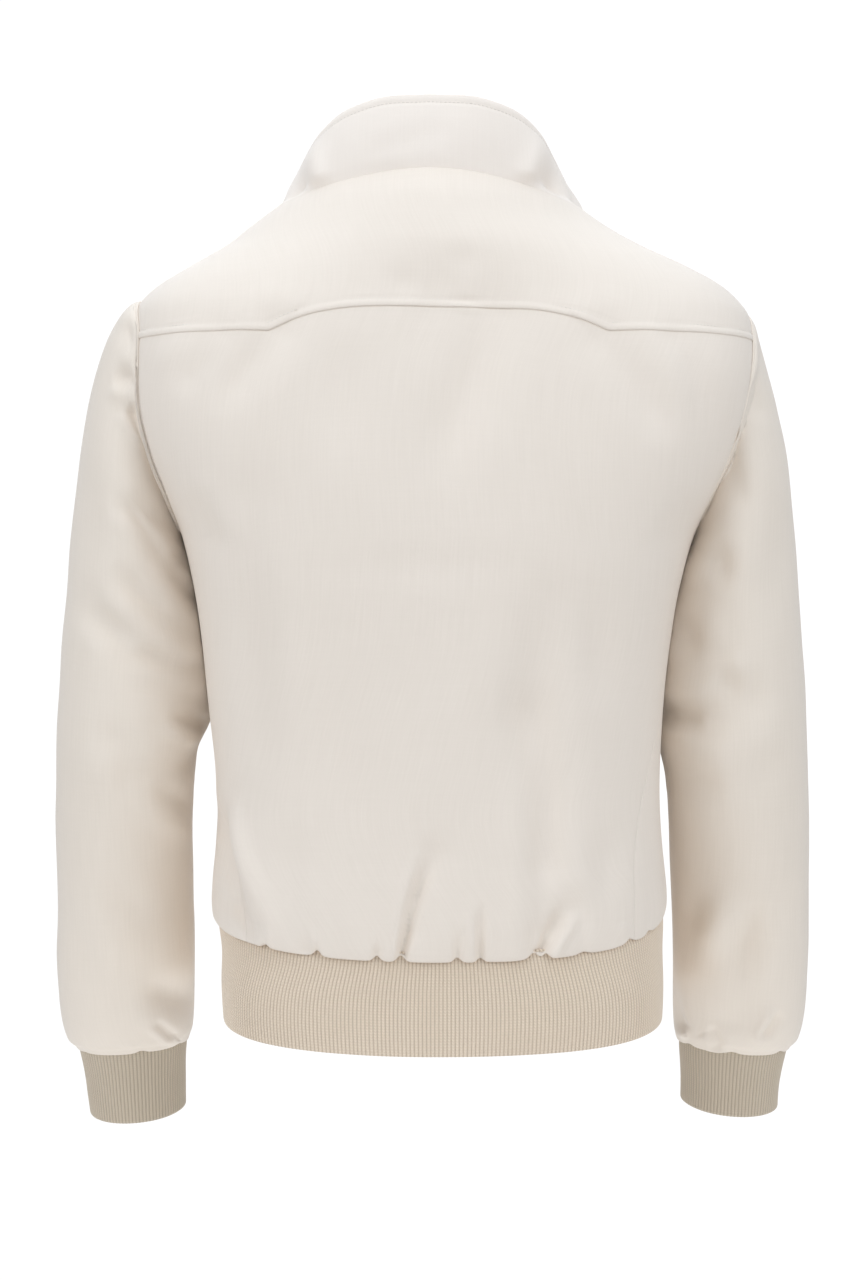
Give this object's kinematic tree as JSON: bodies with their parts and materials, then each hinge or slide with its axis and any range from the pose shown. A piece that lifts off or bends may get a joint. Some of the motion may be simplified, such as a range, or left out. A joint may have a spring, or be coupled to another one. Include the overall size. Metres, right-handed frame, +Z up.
{
  "type": "harrington jacket",
  "caption": "Short zipped cotton jacket in its worn, hollow shape, with a shaped back yoke, open stand collar and ribbed knit hem and cuffs.",
  "frame": {"origin": "middle of the neck opening, level with the neck seam at centre back, where the wearer's neck and shoulders carry the jacket", "axes": "+Z up, -Y towards the jacket's front, +X towards the wearer's left"},
  "size_m": [0.5902, 0.2803, 0.7815],
  "materials": {
    "shell_cloth": "cream cotton twill with a soft sheen",
    "collar_cloth": "cream cotton, two layers with interlining",
    "rib_knit": "beige ribbed knit",
    "zip_tape": "woven tape",
    "zip_metal": "nickel plated"
  },
  "bodies": {
    "garment": {"back_panel": "shell_cloth", "back_yoke": "shell_cloth", "front_left": "shell_cloth", "front_right": "shell_cloth", "hem_rib": "rib_knit", "collar": "collar_cloth", "sleeve_left": "shell_cloth", "sleeve_right": "shell_cloth", "cuff_left": "rib_knit", "cuff_right": "rib_knit", "zip_tape_left": "zip_tape", "zip_tape_right": "zip_tape", "zip_chain": "zip_metal", "zip_box": "zip_metal", "zip_slider": "zip_metal"},
    "pull_tab": {"zip_pull_tab": "zip_metal"}
  },
  "joints": [
    {"name": "pull_tab_hinge", "type": "hinge", "parent": "garment", "child": "pull_tab", "pos_m": [0, -0.09221, -0.09584], "axis": [-1, 0, 0], "range_deg": [0, 150]}
  ]
}
